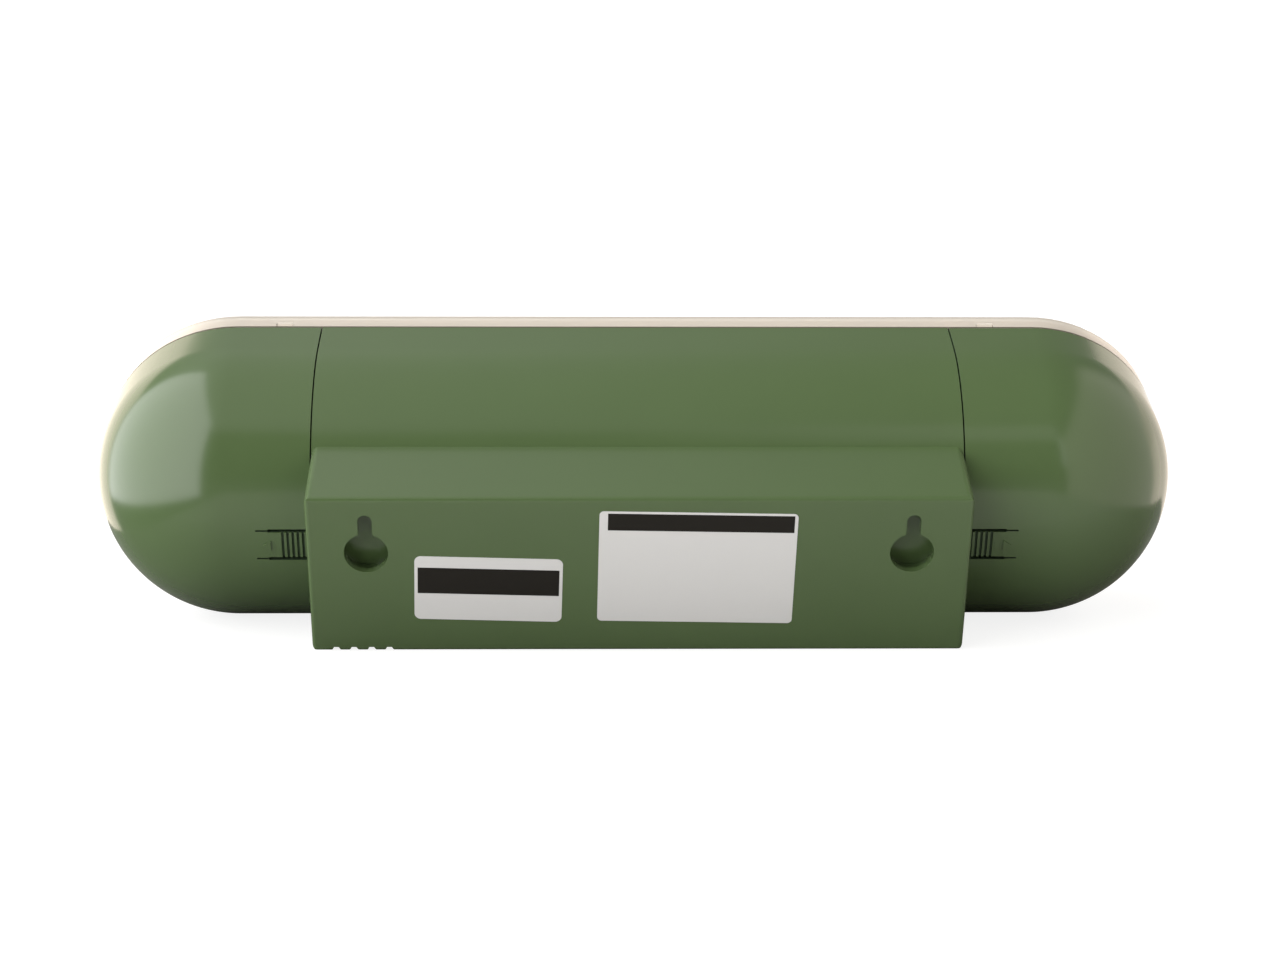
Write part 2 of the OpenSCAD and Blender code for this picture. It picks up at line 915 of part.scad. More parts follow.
// A dry cell along X from x0 to x1: crimped can with its terminal nub at the x1 end
module cell(r, x0, x1, y, z, nub_r, nub_h) {
    crimp = 0.5;
    len = x1 - x0;
    can = len - nub_h;
    translate([x0, y, z])
        rotate([0, 90, 0])
            rotate_extrude()
                polygon([
                    [0, 0],
                    [r - crimp, 0],
                    [r, crimp],
                    [r, can - crimp],
                    [r - crimp, can],
                    [nub_r, can],
                    [nub_r, len - crimp / 2],
                    [nub_r - crimp / 2, len],
                    [0, len]
                ]);
}

module clock_cell() {
    color("#3a6ea5")
        cell(aa_r, dial_x - aa_len / 2, dial_x + aa_len / 2, aa_y, aa_z, aa_nub_r, aa_nub_h);
}

// Bent contact strip as (x, y), its flat at x = 0 to -contact_t and its bow touching the cell
module contact_outline() {
    bow_x = contact_bow_r - contact_room - contact_t + 0.02;
    difference() {
        union() {
            translate([-contact_t, -contact_w / 2])
                square([contact_t, contact_w + 1.5]);
            intersection() {
                translate([bow_x, 0])
                    circle(contact_bow_r);
                translate([-contact_bow_r, -contact_bow_r])
                    square([contact_bow_r, 2 * contact_bow_r]);
            }
        }
        translate([bow_x, 0])
            circle(contact_bow_r - contact_t);
    }
}

module clock_contacts() {
    color(steel)
        translate([dial_x, aa_y, aa_z - contact_w / 2])
            for (m = [0, 1])
                mirror([m, 0, 0])
                    translate([aa_len / 2 + contact_room + contact_t, 0, 0])
                        linear_extrude(contact_w)
                            contact_outline();
}

// Outline of a chassis plate as (y, z), reaching forwards to y = front
module plate_outline(front) {
    intersection() {
        circle(inner_r - 1.2);
        translate([front, -body_r])
            square([body_r, body_d]);
    }
    translate([front, 1.1 - box_half_h + wall])
        square([plate_back_y - front, 2 * (box_half_h - wall - 1.1)]);
}

// Four plates joined by two rails, with the stub of the reduction gear
module chassis() {
    color(steel)
        difference() {
            union() {
                for (x = [plate_x, plate_b_x, plate_c_x])
                    along_x(x, x + plate_t)
                        plate_outline(rail_y0);
                along_x(plate_d_x, plate_end_x)
                    plate_outline(thumb_pos.x - 6);
                for (m = [0, 1])
                    mirror([0, 0, m])
                        translate([rail_left_x, rail_y0, rail_z0])
                            cube([rail_right_x - rail_left_x, rail_y1 - rail_y0, rail_z1 - rail_z0]);
                rod_x(stub_r, gear_x - 0.3, plate_end_x, reduction_pos.x, reduction_pos.y);
            }
            rod_x(axle_r + press, plate_x - over, plate_end_x + over, spool_y, 0);
            rod_x(thumb_shaft_r + run_fit, plate_d_x - over, plate_end_x + over, thumb_pos.x, thumb_pos.y);
            for (x = [plate_b_x, plate_c_x])
                rod_x(stub_r + press, x - over, x + plate_t + over, lever_pivot.x, lever_pivot.y);
            for (x = case_screw_x, s = [-1, 1])
                rod_y(screw_r + 0.2, rail_y0 - over, rail_y1 + over, x, s * case_screw_z);
            at_frame_screws()
                rod_y(screw_r + 0.2, rail_y0 - over, rail_y1 + over);
        }
}

// Screw along Y with its head at y, pointing backwards when s is 1
module rail_screw(y, s, len) {
    head = [y - s * screw_head_t, y];
    shank = [y, y + s * len];
    rod_y(screw_head_r, min(head), max(head));
    rod_y(screw_r, min(shank) - 0.01, max(shank) + 0.01);
}

module chassis_screws() {
    color(steel)
        for (x = case_screw_x, s = [-1, 1])
            translate([x, 0, s * case_screw_z])
                rail_screw(rail_y0, 1, case_screw_len);
}

module frame_screws() {
    color(steel)
        at_frame_screws()
            rail_screw(rail_y1, -1, frame_screw_len);
}

module calendar_axle() {
    color(steel) {
        rod_x(axle_r, plate_x - 1, plate_end_x + 1, spool_y, 0);
        rod_x(axle_r + 1.1, plate_x - 0.6, plate_x, spool_y, 0);
        rod_x(axle_r + 1.1, plate_end_x, plate_end_x + 0.6, spool_y, 0);
    }
}

// Place of pivot k of n on a spool, counted down from the upper front leaf
function pivot_angle(k, n) = 180 - (k + 0.5) * 360 / n;

// Spool with n pivot holes in both discs; its hub runs on to x1
module spool(x0, w, n, x1) {
    x_end = x0 + spool_w(w);
    difference() {
        union() {
            rod_x(hub_r, x0 - side_gap + 0.2, x1, spool_y, 0);
            for (x = [x0, x_end - disc_t])
                rod_x(disc_r, x, x + disc_t, spool_y, 0);
        }
        rod_x(axle_r + run_fit, x0 - 2 * side_gap, x1 + over, spool_y, 0);
        for (k = [0 : n - 1])
            translate([0, spool_y + pivot_r * cos(pivot_angle(k, n)), pivot_r * sin(pivot_angle(k, n))])
                for (x = [x0, x_end - disc_t])
                    rod_x(pin_hole_r, x - over, x + disc_t + over, $fn = 16);
    }
}

// Click wheel with n notches beside a spool
module star(x, n) {
    along_x(x, x + star_t)
        difference() {
            union() {
                circle(star_r - 1.2);
                for (k = [0 : n - 1])
                    rotate(k * 360 / n)
                        translate([star_r - 1.8, -0.5])
                            square([1.8, 1]);
            }
            circle(hub_r - 0.5);
        }
}

// One leaf with its two pins, standing up from its pivot at the origin
module leaf(x0, w) {
    x = x0 + disc_t + leaf_play;
    along_y(-leaf_t / 2, leaf_t / 2) {
        translate([x, -leaf_t / 2])
            square([w, leaf_h + leaf_t / 2 - leaf_corner]);
        translate([x + leaf_corner, leaf_h / 2])
            square([w - 2 * leaf_corner, leaf_h / 2]);
        for (s = [x + leaf_corner, x + w - leaf_corner])
            translate([s, leaf_h - leaf_corner])
                circle(leaf_corner, $fn = 16);
    }
    translate([x - ear_reach, -leaf_t / 2, -leaf_t / 2])
        cube([w + 2 * ear_reach, leaf_t, leaf_t]);
    for (s = [x - leaf_play - disc_t + 0.1, x + w + ear_reach / 2])
        rod_x(pin_r, s, s + leaf_play + disc_t - 0.1 - ear_reach / 2, $fn = 16);
}

// Leaf k of n in the fan: turned from upright at the front to straight back at the rear
module fan_leaf(x0, w, n, k) {
    a = pivot_angle(k, n);
    turn = k == 0 ? 90 : k == n - 1 ? lower_turn : a / 2;
    translate([0, spool_y + pivot_r * cos(a), pivot_r * sin(a)])
        rotate([turn - 90, 0, 0])
            leaf(x0, w);
}

module fan(x0, w, n) {
    for (k = [1 : n - 1])
        fan_leaf(x0, w, n, k);
}

module month_spool() {
    color("#333333") {
        spool(month_x, month_w, month_n, plate_b_x - 0.2);
        translate([0, spool_y, 0])
            star(month_x + spool_w(month_w), month_n);
    }
}

module month_leaves() {
    color(black) fan(month_x, month_w, month_n);
}

module month_falling_leaf() {
    color(black) fan_leaf(month_x, month_w, month_n, 0);
}

module date_spool() {
    color("#333333") {
        spool(date_x, date_w, date_n, plate_c_x - 0.2);
        translate([0, spool_y, 0])
            star(date_x + spool_w(date_w), date_n);
    }
}

module date_leaves() {
    color(black) fan(date_x, date_w, date_n);
}

module date_falling_leaf() {
    color(black) fan_leaf(date_x, date_w, date_n, 0);
}

module weekday_spool() {
    color("#333333") spool(day_x, day_w, day_n, day_end_x);
}

module weekday_leaves() {
    color(black) fan(day_x, day_w, day_n);
}

module weekday_falling_leaf() {
    color(black) fan_leaf(day_x, day_w, day_n, 0);
}

// Toothed outline with a tooth at the angle turn
module gear_outline(teeth, turn) {
    pitch_r = gear_m * teeth / 2;
    arc = PI * gear_m;
    circle(pitch_r - 1.1 * gear_m);
    for (i = [0 : teeth - 1])
        rotate(turn + i * 360 / teeth)
            polygon([
                [pitch_r - 1.4 * gear_m, -0.27 * arc],
                [pitch_r, -0.2 * arc],
                [pitch_r + 0.8 * gear_m, -0.1 * arc],
                [pitch_r + 0.8 * gear_m, 0.1 * arc],
                [pitch_r, 0.2 * arc],
                [pitch_r - 1.4 * gear_m, 0.27 * arc]
            ]);
}

// Turn of a wheel of m teeth that meshes, in direction a, with a wheel of n teeth turned by t
function mesh_turn(a, n, t, m) = a + 180 - (t - a) * n / m + 180 / m;
thumb_turn = mesh_turn(thumb_angle, day_teeth, 0, thumb_teeth);
small_turn = mesh_turn(reduction_angle, day_teeth, 0, small_teeth);
pinion_turn = mesh_turn(motor_angle, big_teeth, 0, motor_teeth);

module gear(x0, x1, pos, teeth, turn) {
    translate([0, pos.x, pos.y])
        along_x(x0, x1)
            gear_outline(teeth, turn);
}

module weekday_gear() {
    color("#e9e4da")
        difference() {
            union() {
                gear(gear_x, gear_x + gear_t, [spool_y, 0], day_teeth, 0);
                rod_x(hub_r, day_end_x, plate_d_x - 0.2, spool_y, 0);
            }
            rod_x(axle_r + run_fit, day_end_x - over, plate_d_x + over, spool_y, 0);
        }
}

module thumbwheel() {
    color("#e9e4da") {
        gear(gear_x, gear_x + gear_t, thumb_pos, thumb_teeth, thumb_turn);
        rod_x(thumb_shaft_r, gear_x, thumb_wheel_x[1], thumb_pos.x, thumb_pos.y);
        difference() {
            rod_x(thumb_wheel_r, thumb_wheel_x[0], thumb_wheel_x[1], thumb_pos.x, thumb_pos.y);
            for (a = [0 : 20 : 359])
                translate([0, thumb_pos.x + thumb_wheel_r * cos(a), thumb_pos.y + thumb_wheel_r * sin(a)])
                    rod_x(0.5, thumb_wheel_x[0] - over, thumb_wheel_x[1] + over, $fn = 16);
        }
    }
}

module reduction_gear() {
    color("#e9e4da")
        difference() {
            union() {
                gear(gear_x, gear_x + gear_t + 0.8, reduction_pos, small_teeth, small_turn);
                gear(gear2_x, gear2_x + gear_t, reduction_pos, big_teeth, 0);
            }
            rod_x(stub_r + run_fit, gear_x - over, gear2_x + gear_t + over, reduction_pos.x, reduction_pos.y);
        }
}

module motor_pinion() {
    color(brass) {
        gear(gear2_x, gear2_x + gear_t, motor_pos, motor_teeth, pinion_turn);
        rod_x(motor_shaft_r, bracket_x - 8, gear2_x + gear_t, motor_pos.x, motor_pos.y);
    }
}

module motor() {
    color(steel)
        translate([0, motor_pos.x, motor_pos.y])
            difference() {
                union() {
                    rod_x(motor_r, bracket_x - motor_len, bracket_x);
                    rod_x(2.5, bracket_x - over, bracket_x + bracket_t);
                    rod_x(1.8, bracket_x - motor_len - 0.8, bracket_x - motor_len + over);
                    for (s = [-1, 1])
                        translate([bracket_x - motor_len - tab_len, s * tab_place - tab_t / 2, -tab_w / 2])
                            cube([tab_len + over, tab_t, tab_w]);
                }
                rod_x(motor_shaft_r + run_fit, bracket_x - 8.3, bracket_x + bracket_t + over);
            }
}

// Straight bar of width w with round ends, from a to b
module bar(a, b, w) {
    d = b - a;
    translate(a)
        rotate(atan2(d.y, d.x)) {
            translate([0, -w / 2])
                square([norm(d), w]);
            circle(w / 2);
            translate([norm(d), 0])
                circle(w / 2);
        }
}

module motor_bracket() {
    color(steel)
        difference() {
            union() {
                along_x(bracket_x, bracket_x + bracket_t) {
                    translate(motor_pos)
                        circle(motor_r + 0.6);
                    for (p = bracket_posts)
                        bar(motor_pos, p, 4);
                }
                for (p = bracket_posts)
                    rod_x(1.5, bracket_x + bracket_t - 0.2, plate_d_x, p.x, p.y);
            }
            rod_x(2.5 + press, bracket_x - over, bracket_x + bracket_t + over, motor_pos.x, motor_pos.y);
        }
}

// Click lever beside the plate at px
module lever(px) {
    x0 = px - 0.3 - lever_t - 1.1;
    difference() {
        union() {
            along_x(x0, x0 + lever_t) {
                bar(lever_pivot, lever_nose, 2);
                translate(lever_nose)
                    circle(1);
            }
            rod_x(2.6, x0, px - 0.3, lever_pivot.x, lever_pivot.y);
        }
        rod_x(stub_r + run_fit, x0 - over, px + over, lever_pivot.x, lever_pivot.y);
    }
}

module month_lever() {
    color("#d8d2c4") lever(plate_b_x);
}

module date_lever() {
    color("#d8d2c4") lever(plate_c_x);
}

module lever_pins() {
    color(steel)
        for (px = [plate_b_x, plate_c_x]) {
            rod_x(stub_r, px - lever_t - 1.6, px + plate_t, lever_pivot.x, lever_pivot.y);
            rod_x(2, px - lever_t - 2.2, px - lever_t - 1.6, lever_pivot.x, lever_pivot.y);
        }
}

module circuit_board() {
    color("#2f6b3f")
        difference() {
            translate([board_x[0], board_front_y, -board_half_h])
                cube([board_x[1] - board_x[0], board_t, 2 * board_half_h]);
            for (x = board_screws_x, z = [-1, 1])
                rod_y(board_screw_r + 0.2, board_front_y - over, board_back_y + over, x, z * board_screw_z);
        }
    color(black) {
        for (chip = board_chips)
            translate([chip[0], board_front_y - chip_t, chip[1]])
                cube([chip[2], chip_t, chip[3]]);
    }
    for (x = [-44, -36])
        color(steel)
            rod_y(can_r, board_front_y - can_h, board_front_y, x, 10);
}

module board_screws() {
    color(steel)
        for (x = board_screws_x, z = [-1, 1])
            translate([x, 0, z * board_screw_z]) {
                rod_y(2.2, board_front_y - 1.2, board_front_y);
                rod_y(board_screw_r, board_front_y - 0.2, box_in_y - 0.5);
            }
}

module cell_tray() {
    half = cell_r + 0.4 + tray_wall;
    color("#3a3a3a")
        difference() {
            translate([tray_x0, panel_back_y, -half])
                cube([tray_x1 - tray_x0, cell_y + 7 - panel_back_y, 2 * half]);
            translate([tray_x0 + tray_wall, 0, 0]) {
                rod_x(cell_r + 0.4, 0, tray_x1 - tray_x0 - 2 * tray_wall, cell_y, 0);
                translate([0, cell_y, -cell_r - 0.4])
                    cube([tray_x1 - tray_x0 - 2 * tray_wall, 8, 2 * cell_r + 0.8]);
            }
        }
}

module calendar_cell() {
    color("#8a3b32")
        cell(cell_r, cell_x0, cell_x1, cell_y, 0, nub_r, nub_h);
}

// Centre of ring i of the spring's wire: half a closed turn at both ends, x counted from the plate
function spring_point(i) =
    let (
        turn = i / spring_rings,
        rise = spring_room - 2 * spring_wire_r + spring_sink,
        lift = max(0, min(1, (turn - 0.25) / (spring_turns - 0.5))),
        r = spring_wide_r - (spring_wide_r - spring_narrow_r) * turn / spring_turns
    )
    [spring_wire_r - spring_sink + rise * lift, r * cos(360 * turn), r * sin(360 * turn)];

// The wire's skin at ring i, round the radial direction and X
function spring_skin(i) = [
    for (j = [0 : spring_sides - 1])
        let (a = 360 * i / spring_rings, b = 360 * (j + 0.5) / spring_sides)
        spring_point(i) + spring_wire_r * [sin(b), cos(b) * cos(a), cos(b) * sin(a)]
];

// One unbroken tube through all rings
module spring_wire() {
    last = spring_turns * spring_rings;
    n = spring_sides;
    centres = [for (i = [0 : last]) spring_point(i)];
    gaps = [
        for (i = [0 : last - spring_rings / 2], j = [i + spring_rings / 2 : last])
            norm(centres[j] - centres[i])
    ];
    echo(least_gap_of_cell_spring = min(gaps) - 2 * spring_wire_r);
    polyhedron(
        points = [for (i = [0 : last], p = spring_skin(i)) p],
        faces = [
            [for (j = [n - 1 : -1 : 0]) j],
            for (i = [0 : last - 1], j = [0 : n - 1])
                let (k = (j + 1) % n)
                each [
                    [i * n + j, i * n + k, (i + 1) * n + j],
                    [i * n + k, (i + 1) * n + k, (i + 1) * n + j]
                ],
            [for (j = [0 : n - 1]) last * n + j]
        ]
    );
}

// Contact plate, square, at x
module contact_plate(x) {
    translate([x, cell_y - plate_contact_w / 2, -plate_contact_w / 2])
        cube([plate_contact_t, plate_contact_w, plate_contact_w]);
}

module cell_spring() {
    color(steel) {
        contact_plate(tray_x0 + tray_wall);
        translate([tray_x0 + tray_wall + plate_contact_t, cell_y, 0])
            spring_wire();
    }
}

module cell_plate() {
    color(steel) contact_plate(cell_x1);
}

module switch_body() {
    slot = slider_len / 2 + switch_travel + 0.4;
    back = panel_back_y + switch_deep;
    color(black)
        difference() {
            translate([switch_x - switch_len / 2, panel_back_y, switch_z - switch_h / 2])
                cube([switch_len, switch_deep, switch_h]);
            translate([switch_x - slot, back - slider_foot - 0.2, switch_z - slider_h / 2 - 0.1])
                cube([2 * slot, slider_foot + 0.2 + over, slider_h + 0.2]);
        }
}

// Slider with three grip grooves across its end
module switch_slider() {
    back = panel_back_y + switch_deep;
    color("#e9e4da")
        difference() {
            translate([switch_x - slider_len / 2, back - slider_foot, switch_z - slider_h / 2])
                cube([slider_len, slider_foot + slider_top, slider_h]);
            for (i = [-1 : 1])
                translate([switch_x + i - 0.2, back + slider_top - 0.5, switch_z - slider_h])
                    cube([0.4, 0.5 + over, 2 * slider_h]);
        }
}

stand() rear_case();
stand() end_cover_left();
stand() end_cover_right();
stand() front_lens();
stand() face_frame();
stand() dial();
stand() dial_screws();
stand() hour_hand();
stand() minute_hand();
stand() second_hand();
stand() movement_case();
stand() movement_nut();
stand() set_knob();
stand() clock_cell();
stand() clock_contacts();
stand() chassis();
stand() chassis_screws();
stand() frame_screws();
stand() calendar_axle();
stand() month_spool();
stand() month_leaves();
stand() month_falling_leaf();
stand() date_spool();
stand() date_leaves();
stand() date_falling_leaf();
stand() weekday_spool();
stand() weekday_leaves();
stand() weekday_falling_leaf();
stand() weekday_gear();
stand() thumbwheel();
stand() reduction_gear();
stand() motor_pinion();
stand() motor();
stand() motor_bracket();
stand() month_lever();
stand() date_lever();
stand() lever_pins();
stand() circuit_board();
stand() board_screws();
stand() cell_tray();
stand() calendar_cell();
stand() cell_spring();
stand() cell_plate();
stand() switch_body();
stand() switch_slider();
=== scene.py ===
import bpy
import bmesh
import json
import math
from mathutils import Matrix, Vector

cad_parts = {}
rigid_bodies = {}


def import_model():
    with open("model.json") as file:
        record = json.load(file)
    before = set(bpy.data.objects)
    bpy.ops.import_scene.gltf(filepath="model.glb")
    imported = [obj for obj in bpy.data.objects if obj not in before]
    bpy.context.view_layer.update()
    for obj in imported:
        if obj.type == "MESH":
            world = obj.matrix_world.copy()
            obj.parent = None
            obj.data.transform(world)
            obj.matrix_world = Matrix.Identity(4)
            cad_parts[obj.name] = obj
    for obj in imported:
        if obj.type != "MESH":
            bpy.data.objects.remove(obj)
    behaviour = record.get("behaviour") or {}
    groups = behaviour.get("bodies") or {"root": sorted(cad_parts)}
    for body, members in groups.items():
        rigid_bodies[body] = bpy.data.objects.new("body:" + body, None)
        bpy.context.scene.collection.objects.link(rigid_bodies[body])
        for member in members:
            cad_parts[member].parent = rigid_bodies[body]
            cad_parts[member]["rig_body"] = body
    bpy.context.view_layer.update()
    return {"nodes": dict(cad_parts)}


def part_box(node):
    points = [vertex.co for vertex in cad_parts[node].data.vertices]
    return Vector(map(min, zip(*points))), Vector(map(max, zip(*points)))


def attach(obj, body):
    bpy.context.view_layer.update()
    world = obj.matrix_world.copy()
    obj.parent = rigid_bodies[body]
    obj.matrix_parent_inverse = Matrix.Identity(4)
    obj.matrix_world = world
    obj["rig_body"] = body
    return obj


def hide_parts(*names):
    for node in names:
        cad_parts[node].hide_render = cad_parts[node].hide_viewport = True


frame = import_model()

# Camera
# The photograph looks at the clock's back from a little above the desk. Sizes on the clock are in
# millimetres, with the clock upright and the axis of its round body at the origin; STAND leans
# it back on its round belly, as it rests, and turns millimetres to metres.
LEAN = math.radians(18.37207)
BODY_AXIS = (0, -0.0160549, 0.046)
STAND = Matrix.Translation(BODY_AXIS) @ Matrix.Rotation(-LEAN, 4, "X") @ Matrix.Scale(0.001, 4)
PITCH, YAW, ROLL = 0.516, 0.025, -0.012
REACH, OFF_SIDE, OFF_UP = 830.37, 0.065, 2.184
FOCAL_PIXELS, PICTURE_PIXELS, SENSOR = 2522.8, 1270, 36
level = Matrix.Rotation(-YAW, 3, "Z")
side = level @ Vector((-1, 0, 0))
up = level @ Vector((0, -math.sin(PITCH), math.cos(PITCH)))
back = level @ Vector((0, math.cos(PITCH), math.sin(PITCH)))
eye = back * REACH - side * OFF_SIDE - up * OFF_UP
view = Matrix((
    side * math.cos(ROLL) - up * math.sin(ROLL),
    side * math.sin(ROLL) + up * math.cos(ROLL),
    back,
)).transposed().to_4x4()
camera_data = bpy.data.cameras.new("camera")
camera_data.sensor_width = SENSOR
camera_data.lens = FOCAL_PIXELS / PICTURE_PIXELS * SENSOR
camera_data.clip_start = 0.01
camera = bpy.data.objects.new("camera", camera_data)
bpy.context.scene.collection.objects.link(camera)
camera.matrix_world = Matrix.Translation(STAND @ eye) @ Matrix.Rotation(-LEAN, 4, "X") @ view
bpy.context.scene.camera = camera

# Floor and light
# The clock stands in a white light tent, on a white floor that is overexposed in the picture.
# The tent's wall on the picture's left is the strong one, the ceiling glows more on that side,
# and the camera looks in through a dark doorway.
def linear(code, gain=1.0):
    parts = [int(code[i:i + 2], 16) / 255 for i in (1, 3, 5)]
    return [gain * (c / 12.92 if c <= 0.04045 else ((c + 0.055) / 1.055) ** 2.4) for c in parts] + [1.0]


def add_node(material, kind, links=None, inputs=None, **settings):
    node = material.node_tree.nodes.new("ShaderNode" + kind)
    for key, value in settings.items():
        setattr(node, key, value)
    for key, value in (inputs or {}).items():
        node.inputs[key].default_value = value
    for key, source in (links or {}).items():
        material.node_tree.links.new(source, node.inputs[key])
    return node


def start_material(name):
    material = bpy.data.materials.new(name)
    material.use_nodes = True
    material.node_tree.nodes.clear()
    return material


def add_coat(material, inputs, links=None):
    coat = add_node(material, "BsdfPrincipled", links=links, inputs=inputs)
    add_node(material, "OutputMaterial", links={"Surface": coat.outputs[0]})
    return material


def flat_sheet(name, material, half_size, middle):
    bm = bmesh.new()
    bmesh.ops.create_grid(bm, x_segments=1, y_segments=1, size=1)
    bmesh.ops.scale(bm, vec=(*half_size, 1), verts=bm.verts)
    bmesh.ops.translate(bm, vec=middle, verts=bm.verts)
    mesh = bpy.data.meshes.new(name)
    bm.to_mesh(mesh)
    bm.free()
    sheet = bpy.data.objects.new(name, mesh)
    bpy.context.scene.collection.objects.link(sheet)
    sheet.data.materials.append(material)
    return sheet


# The clock mirrors a board that the camera doesn't see. It is greyer close to the clock, in the
# clock's own shade, and past its near edges the panels show from below. What the camera sees
# is a white floor all the way to the horizon, which casts nothing on the clock.
SHADE_REACH = 0.11
table_board = start_material("white_table_board")
board_place = add_node(table_board, "SeparateXYZ", links={
    "Vector": add_node(table_board, "TexCoord").outputs["Object"]})
board_shade = add_node(table_board, "MapRange", links={"Value": board_place.outputs["Y"]}, inputs={
    "From Min": 0.0, "From Max": SHADE_REACH})
board_tone = add_node(
    table_board, "Mix", data_type="RGBA", links={"Factor": board_shade.outputs["Result"]},
    inputs={"A": linear("#80807E"), "B": linear("#D4D4D2")})
add_coat(table_board, {"Roughness": 0.8}, links={"Base Color": board_tone.outputs[2]})
table = flat_sheet("studio_table", table_board, half_size=(0.255, 1.06), middle=(-0.035, 0.94, -0.0002))
table.visible_camera = False

paper = add_coat(start_material("overexposed_white_paper"), {
    "Base Color": linear("#8C8C8B"), "Roughness": 0.8,
    "Emission Color": linear("#FFFFFF"), "Emission Strength": 0.84})
floor = flat_sheet("studio_floor", paper, half_size=(30, 30), middle=(0, 0, 0))
floor.visible_diffuse = floor.visible_glossy = floor.visible_transmission = floor.visible_shadow = False

# The tent's panels are seen from the clock: each spans a stretch along one wall and a height up
# it, both as multiples of that wall's distance, and glows with its own strength and tint.
tent = bpy.data.worlds.new("white_light_tent")
bpy.context.scene.world = tent
tent.use_nodes = True
tent.node_tree.nodes.clear()
outwards = add_node(tent, "SeparateXYZ", links={"Vector": add_node(tent, "TexCoord").outputs["Generated"]})
ways = {axis: outwards.outputs[axis] for axis in "XYZ"}


def fade(value, low, high):
    spread = add_node(
        tent, "MapRange", links={"Value": value}, inputs={"From Min": low, "From Max": high},
        interpolation_type="SMOOTHSTEP",
    )
    return spread.outputs["Result"]


def tent_panel(wall, sign, along, stretch, height, soft=0.03):
    reach = add_node(tent, "Math", operation="MULTIPLY", inputs={1: sign}, links={0: ways[wall]}).outputs[0]
    mask = fade(reach, 0.0, 0.01)
    for source, (low, high) in ((ways[along], stretch), (ways["Z"], height)):
        ratio = add_node(tent, "Math", operation="DIVIDE", links={0: source, 1: reach}).outputs[0]
        for edge in (fade(ratio, low - soft, low + soft), fade(ratio, high + soft, high - soft)):
            mask = add_node(tent, "Math", operation="MULTIPLY", links={0: mask, 1: edge}).outputs[0]
    return mask


WALL_GLOW, LEFT_CEILING, RIGHT_CEILING = 0.26, 0.85, 0.2
ceiling = add_node(tent, "MapRange", links={"Value": ways["X"]}, interpolation_type="SMOOTHSTEP", inputs={
    "From Min": -0.25, "From Max": 0.2, "To Min": RIGHT_CEILING, "To Max": LEFT_CEILING})
glow = add_node(tent, "MapRange", links={"Value": ways["Z"], "To Max": ceiling.outputs["Result"]}, inputs={
    "From Min": 0.5, "From Max": 0.8, "To Min": WALL_GLOW}).outputs["Result"]
for mask, strength, tint in (
    # The doorway that the camera looks through
    (tent_panel("Y", 1, "X", (-0.42, 0.42), (0.07, 0.95)), 0.12, "#FFFFFF"),
    # The walls on the picture's left and right
    (tent_panel("X", 1, "Y", (-0.7, 2.05), (-0.3, 2.6)), 3.5, "#FFFFFF"),
    (tent_panel("X", -1, "Y", (-0.9, 2.3), (-0.6, 1.7), soft=0.3), 1.15, "#FFF8F0"),
    # A pale patch at the doorway's top and a bright strip down its right edge
    (tent_panel("Y", 1, "X", (-0.40, -0.10), (0.76, 1.15), soft=0.06), 0.75, "#FFFFFF"),
    (tent_panel("Y", 1, "X", (-0.44, -0.38), (0.3, 0.82)), 2.0, "#FFFFFF"),
    # The wall that the clock's front faces: its middle, its right twice, and its left
    (tent_panel("Y", -1, "X", (-0.4, 0.4), (-1.5, 0.35)), 1.7, "#FFFFFF"),
    (tent_panel("Y", -1, "X", (-2.2, -0.35), (-0.7, 0.5), soft=0.06), 1.5, "#FFF0E2"),
    (tent_panel("Y", -1, "X", (-2.2, -1.1), (-0.7, 0.15), soft=0.1), 2.0, "#FFF0E2"),
    (tent_panel("Y", -1, "X", (0.32, 1.34), (-0.9, 0.72), soft=0.06), 2.4, "#FFF0E2"),
):
    blend = add_node(tent, "Mix", data_type="RGBA", links={"Factor": mask, "A": glow}, inputs={
        "B": linear(tint, strength)})
    glow = blend.outputs[2]
tent_light = add_node(tent, "Background", links={"Color": glow})
backdrop = add_node(tent, "Background", inputs={"Color": linear("#FFFFFF"), "Strength": 1.0})
seen = add_node(tent, "LightPath")
both = add_node(tent, "MixShader", links={
    0: seen.outputs["Is Camera Ray"], 1: tent_light.outputs[0], 2: backdrop.outputs[0]})
add_node(tent, "OutputWorld", links={"Surface": both.outputs[0]})
bpy.context.scene.view_settings.view_transform = "Standard"

# Green moulded shells
# The middle shell with its rear box and the two end covers are injection moulded ABS, coloured
# through. The mould was polished, so the tent's panels show in the plastic with firm edges. The
# shells' inner faces, which show at the seams and slots, are rough, and their darker green is
# painted shade standing in for the shadow in the seams and slots.
def moulded_plastic(name, colour, roughness=0.36, grain=0.35, depth=0.02, drift=0.04, ior=1.52):
    # The pores are grain millimetres wide and depth millimetres high; drift is how far the colour
    # wanders from its mean.
    material = start_material(name)
    place = add_node(material, "TexCoord").outputs["Object"]
    cloud = add_node(material, "TexNoise", links={"Vector": place}, inputs={"Scale": 35.0, "Detail": 3.0})
    pores = add_node(
        material, "TexNoise", links={"Vector": place}, inputs={"Scale": 1000 / grain, "Detail": 2.0})
    tint = add_node(material, "Mix", data_type="RGBA", links={"Factor": cloud.outputs["Fac"]}, inputs={
        "A": linear(colour, 1 - drift), "B": linear(colour, 1 + drift)})
    gloss = add_node(material, "MapRange", links={"Value": cloud.outputs["Fac"]}, inputs={
        "To Min": roughness * 0.9, "To Max": roughness * 1.1})
    skin = add_node(material, "Bump", links={"Height": pores.outputs["Fac"]}, inputs={
        "Strength": 0.25, "Distance": depth / 1000})
    return add_coat(material, {"IOR": ior}, links={
        "Base Color": tint.outputs[2], "Roughness": gloss.outputs["Result"], "Normal": skin.outputs[0]})


